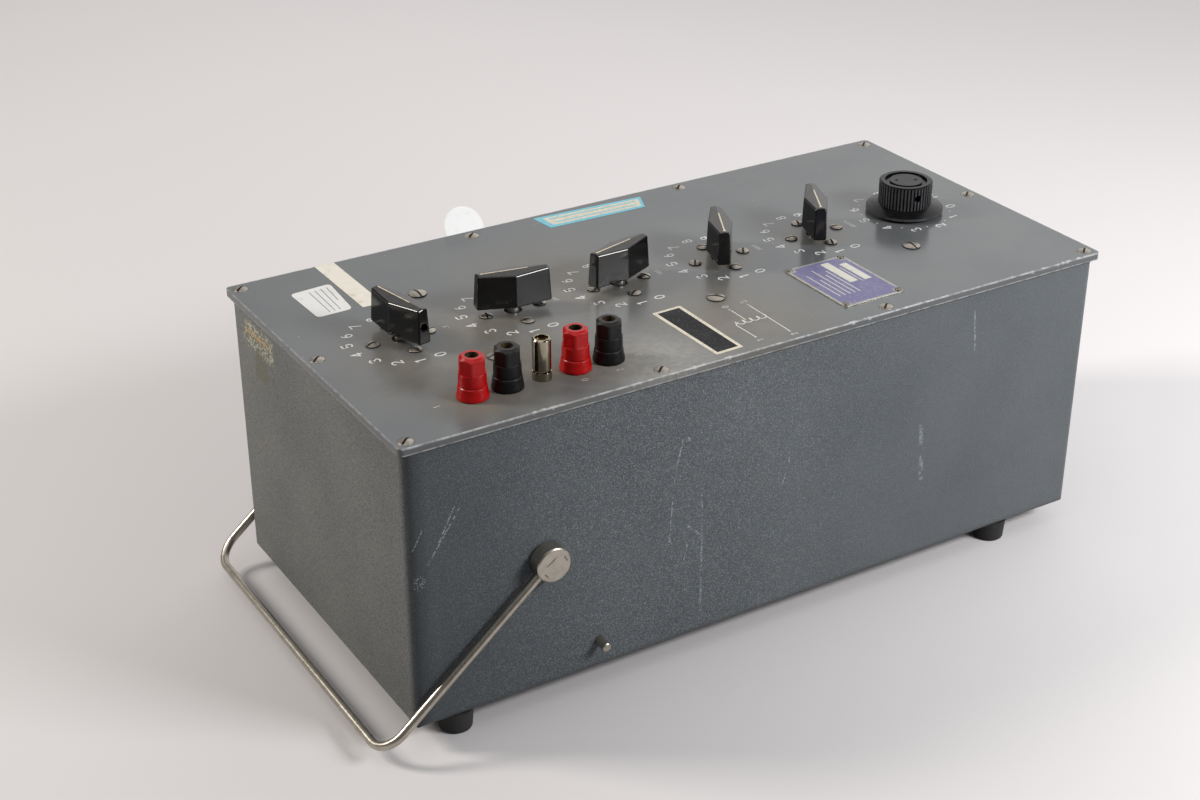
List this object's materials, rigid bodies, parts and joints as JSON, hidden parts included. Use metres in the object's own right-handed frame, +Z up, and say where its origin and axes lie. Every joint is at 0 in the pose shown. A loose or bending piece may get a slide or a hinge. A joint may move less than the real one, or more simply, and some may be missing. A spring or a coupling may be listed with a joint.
{
  "type": "ratio transformer",
  "caption": "Bench ratio transformer: deep case with a flat panel, decade switch knobs, an interpolating dial, screw-cap binding posts and a swinging bail that props it up.",
  "frame": {"origin": "on the ground under the middle of the box that holds the instrument and its resting bail", "axes": "+X along the panel from the first decade to the round dial, +Y from the binding posts to the far side, +Z up out of the panel"},
  "size_m": [0.4526, 0.2234, 0.196],
  "materials": {
    "case_paint": "fine wrinkle enamel, slate blue-grey, scuffed",
    "panel_paint": "smooth satin enamel, mid grey, worn at the edge",
    "screw_nickel": "satin nickel plate, a little tarnished",
    "bail_nickel": "satin nickel plate, scratched",
    "post_nickel": "bright nickel plate",
    "inner_steel": "plain zinc-plated steel",
    "brass": "turned brass",
    "foot_rubber": "matte moulded rubber",
    "phenolic_brown": "laminated phenolic",
    "chassis_aluminium": "plain aluminium",
    "winding": "varnished winding on an iron core",
    "post_red": "moulded, scuffed gloss",
    "post_black": "moulded, scuffed gloss",
    "washer_fibre": "fibre",
    "knob_black": "moulded phenolic gloss",
    "dial_black": "moulded satin"
  },
  "bodies": {
    "root": {"case_shell": "case_paint", "front_panel": "panel_paint", "panel_screws": "screw_nickel", "rubber_feet": "foot_rubber", "foot_screws": "screw_nickel", "foot_nuts": "screw_nickel", "bail_stop_pins": "bail_nickel", "pivot_bushes": "brass", "switch_index_plates": "inner_steel", "switch_wafers": "phenolic_brown", "switch_spacers": "inner_steel", "switch_screws": "screw_nickel", "switch_nuts": "inner_steel", "chassis_plate": "chassis_aluminium", "chassis_standoffs": "chassis_aluminium", "chassis_screws": "screw_nickel", "toroid_windings": "winding", "toroid_clamps": "phenolic_brown", "toroid_bolts": "inner_steel", "potentiometer_body": "phenolic_brown", "potentiometer_nut": "screw_nickel", "red_post_bases": "post_red", "black_post_bases": "post_black", "ground_post_base": "post_nickel", "post_studs": "brass", "post_washers": "washer_fibre", "post_nuts": "brass"},
    "bail": {"bail_rod": "bail_nickel", "bail_boss_near": "bail_nickel", "bail_boss_far": "bail_nickel", "bail_nuts": "inner_steel"},
    "dial": {"dial_knob": "dial_black", "dial_cap": "dial_black", "dial_bush": "brass", "potentiometer_shaft": "inner_steel"},
    "decade_1": {"decade_knob_1": "knob_black", "decade_bush_1": "brass", "switch_shaft_1": "inner_steel"},
    "decade_2": {"decade_knob_2": "knob_black", "decade_bush_2": "brass", "switch_shaft_2": "inner_steel"},
    "decade_3": {"decade_knob_3": "knob_black", "decade_bush_3": "brass", "switch_shaft_3": "inner_steel"},
    "decade_4": {"decade_knob_4": "knob_black", "decade_bush_4": "brass", "switch_shaft_4": "inner_steel"},
    "decade_5": {"decade_knob_5": "knob_black", "decade_bush_5": "brass", "switch_shaft_5": "inner_steel"},
    "post_1_insert": {"post_insert_1": "brass"},
    "post_1_cap": {"post_cap_1": "post_red"},
    "post_2_insert": {"post_insert_2": "brass"},
    "post_2_cap": {"post_cap_2": "post_black"},
    "post_3_insert": {"post_insert_3": "brass"},
    "post_3_cap": {"post_cap_3": "post_nickel"},
    "post_4_insert": {"post_insert_4": "brass"},
    "post_4_cap": {"post_cap_4": "post_red"},
    "post_5_insert": {"post_insert_5": "brass"},
    "post_5_cap": {"post_cap_5": "post_black"}
  },
  "joints": [
    {"name": "bail_swing", "type": "hinge", "parent": "root", "child": "bail", "pos_m": [-0.12885, 0, 0.0895], "axis": [0, 1, 0], "range_deg": [-72.5, 150]},
    {"name": "decade_1_turn", "type": "hinge", "parent": "root", "child": "decade_1", "pos_m": [-0.15295, 0, 0.173], "axis": [0, 0, 1], "range_deg": [-24, 192]},
    {"name": "decade_2_turn", "type": "hinge", "parent": "root", "child": "decade_2", "pos_m": [-0.08795, 0, 0.173], "axis": [0, 0, 1], "range_deg": [-96, 120]},
    {"name": "decade_3_turn", "type": "hinge", "parent": "root", "child": "decade_3", "pos_m": [-0.02295, 0, 0.173], "axis": [0, 0, 1], "range_deg": [-120, 96]},
    {"name": "decade_4_turn", "type": "hinge", "parent": "root", "child": "decade_4", "pos_m": [0.04205, 0, 0.173], "axis": [0, 0, 1], "range_deg": [-168, 48]},
    {"name": "decade_5_turn", "type": "hinge", "parent": "root", "child": "decade_5", "pos_m": [0.10705, 0, 0.173], "axis": [0, 0, 1], "range_deg": [-168, 48]},
    {"name": "dial_turn", "type": "hinge", "parent": "root", "child": "dial", "pos_m": [0.17205, 0, 0.173], "axis": [0, 0, 1], "range_deg": [-123.1, 200.9]},
    {"name": "post_1_lift", "type": "slide", "parent": "root", "child": "post_1_insert", "axis": [0, 0, 1], "range_m": [0, 0.00363]},
    {"name": "post_1_turn", "type": "hinge", "parent": "post_1_insert", "child": "post_1_cap", "pos_m": [-0.15195, -0.0754, 0.173], "axis": [0, 0, 1], "range_deg": [0, 1440]},
    {"name": "post_2_lift", "type": "slide", "parent": "root", "child": "post_2_insert", "axis": [0, 0, 1], "range_m": [0, 0.00363]},
    {"name": "post_2_turn", "type": "hinge", "parent": "post_2_insert", "child": "post_2_cap", "pos_m": [-0.1329, -0.0754, 0.173], "axis": [0, 0, 1], "range_deg": [0, 1440]},
    {"name": "post_3_lift", "type": "slide", "parent": "root", "child": "post_3_insert", "axis": [0, 0, 1], "range_m": [0, 0.00363]},
    {"name": "post_3_turn", "type": "hinge", "parent": "post_3_insert", "child": "post_3_cap", "pos_m": [-0.11385, -0.0754, 0.173], "axis": [0, 0, 1], "range_deg": [0, 1440]},
    {"name": "post_4_lift", "type": "slide", "parent": "root", "child": "post_4_insert", "axis": [0, 0, 1], "range_m": [0, 0.00363]},
    {"name": "post_4_turn", "type": "hinge", "parent": "post_4_insert", "child": "post_4_cap", "pos_m": [-0.0948, -0.0754, 0.173], "axis": [0, 0, 1], "range_deg": [0, 1440]},
    {"name": "post_5_lift", "type": "slide", "parent": "root", "child": "post_5_insert", "axis": [0, 0, 1], "range_m": [0, 0.00363]},
    {"name": "post_5_turn", "type": "hinge", "parent": "post_5_insert", "child": "post_5_cap", "pos_m": [-0.07575, -0.0754, 0.173], "axis": [0, 0, 1], "range_deg": [0, 1440]}
  ],
  "couplings": [
    {"joint": "post_1_turn", "follows": "post_1_lift", "rad_per_m": 6927.4},
    {"joint": "post_2_turn", "follows": "post_2_lift", "rad_per_m": 6927.4},
    {"joint": "post_3_turn", "follows": "post_3_lift", "rad_per_m": 6927.4},
    {"joint": "post_4_turn", "follows": "post_4_lift", "rad_per_m": 6927.4},
    {"joint": "post_5_turn", "follows": "post_5_lift", "rad_per_m": 6927.4}
  ]
}
